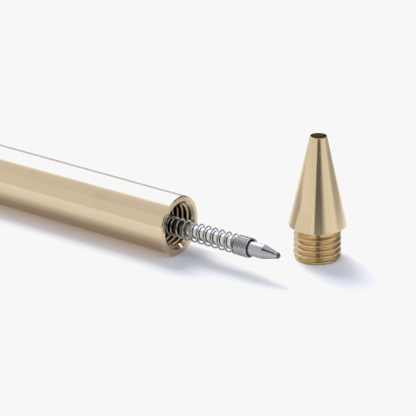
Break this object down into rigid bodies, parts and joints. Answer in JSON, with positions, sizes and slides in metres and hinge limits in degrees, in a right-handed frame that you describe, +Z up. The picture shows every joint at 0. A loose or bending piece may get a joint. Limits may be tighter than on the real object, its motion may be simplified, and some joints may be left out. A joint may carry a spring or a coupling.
{
  "type": "ballpoint pen",
  "caption": "Brass push button ballpoint pen taken apart: plain barrel lying down, refill and spring out of its threaded mouth, and the conical nose piece standing beside them.",
  "frame": {"origin": "centre of the footprint on the table, where the barrel lies and the nose cone stands; the barrel's mouth is at x = 49.20 mm, y = -6.00 mm, z = 5 mm", "axes": "+X along the barrel's axis from the push button to the open mouth, +Z up from the table, +Y across the table to the standing nose cone"},
  "size_m": [0.1454, 0.022, 0.021],
  "materials": {
    "brass": "polished, lightly lacquered",
    "tip_steel": "fine turned",
    "neck_plate": "bright nickel plate",
    "tube_steel": "satin drawn tube",
    "spring_steel": "bright drawn wire",
    "ball_carbide": "ground and polished",
    "plug_plastic": "moulded",
    "cam_plastic": "moulded, self lubricating",
    "ink": "paste ink"
  },
  "bodies": {
    "barrel": {"barrel": "brass", "cam_sleeve": "plug_plastic", "end_bushing": "brass"},
    "refill": {"refill_tube": "tube_steel", "refill_neck": "neck_plate", "writing_tip": "tip_steel", "refill_plug": "plug_plastic", "ink_column": "ink"},
    "ball": {"writing_ball": "ball_carbide"},
    "spring": {"return_spring": "spring_steel"},
    "nose": {"nose_cone": "brass"},
    "button": {"plunger": "cam_plastic", "button_cap": "brass"},
    "thrust": {"thrust_cup": "cam_plastic"},
    "indexer": {"rotor": "cam_plastic"}
  },
  "joints": [
    {"name": "refill_slide", "type": "slide", "parent": "barrel", "child": "refill", "axis": [1, 0, 0], "range_m": [0, 0.085]},
    {"name": "ball_roll", "type": "hinge", "parent": "refill", "child": "ball", "pos_m": [0.0685, -0.006, 0.0046], "axis": [0, 1, 0], "continuous": true},
    {"name": "spring_slide", "type": "slide", "parent": "refill", "child": "spring", "axis": [1, 0, 0], "range_m": [0, 0.025]},
    {"name": "nose_lift", "type": "slide", "parent": "barrel", "child": "nose", "axis": [0, 0, 1], "range_m": [0, 0.04]},
    {"name": "button_slide", "type": "slide", "parent": "barrel", "child": "button", "axis": [1, 0, 0], "range_m": [0, 0.0055]},
    {"name": "thrust_slide", "type": "slide", "parent": "barrel", "child": "thrust", "axis": [1, 0, 0], "range_m": [-0.0055, 0]},
    {"name": "rotor_spin", "type": "hinge", "parent": "thrust", "child": "indexer", "pos_m": [-0.0318, -0.006, 0.005], "axis": [1, 0, 0], "continuous": true}
  ]
}
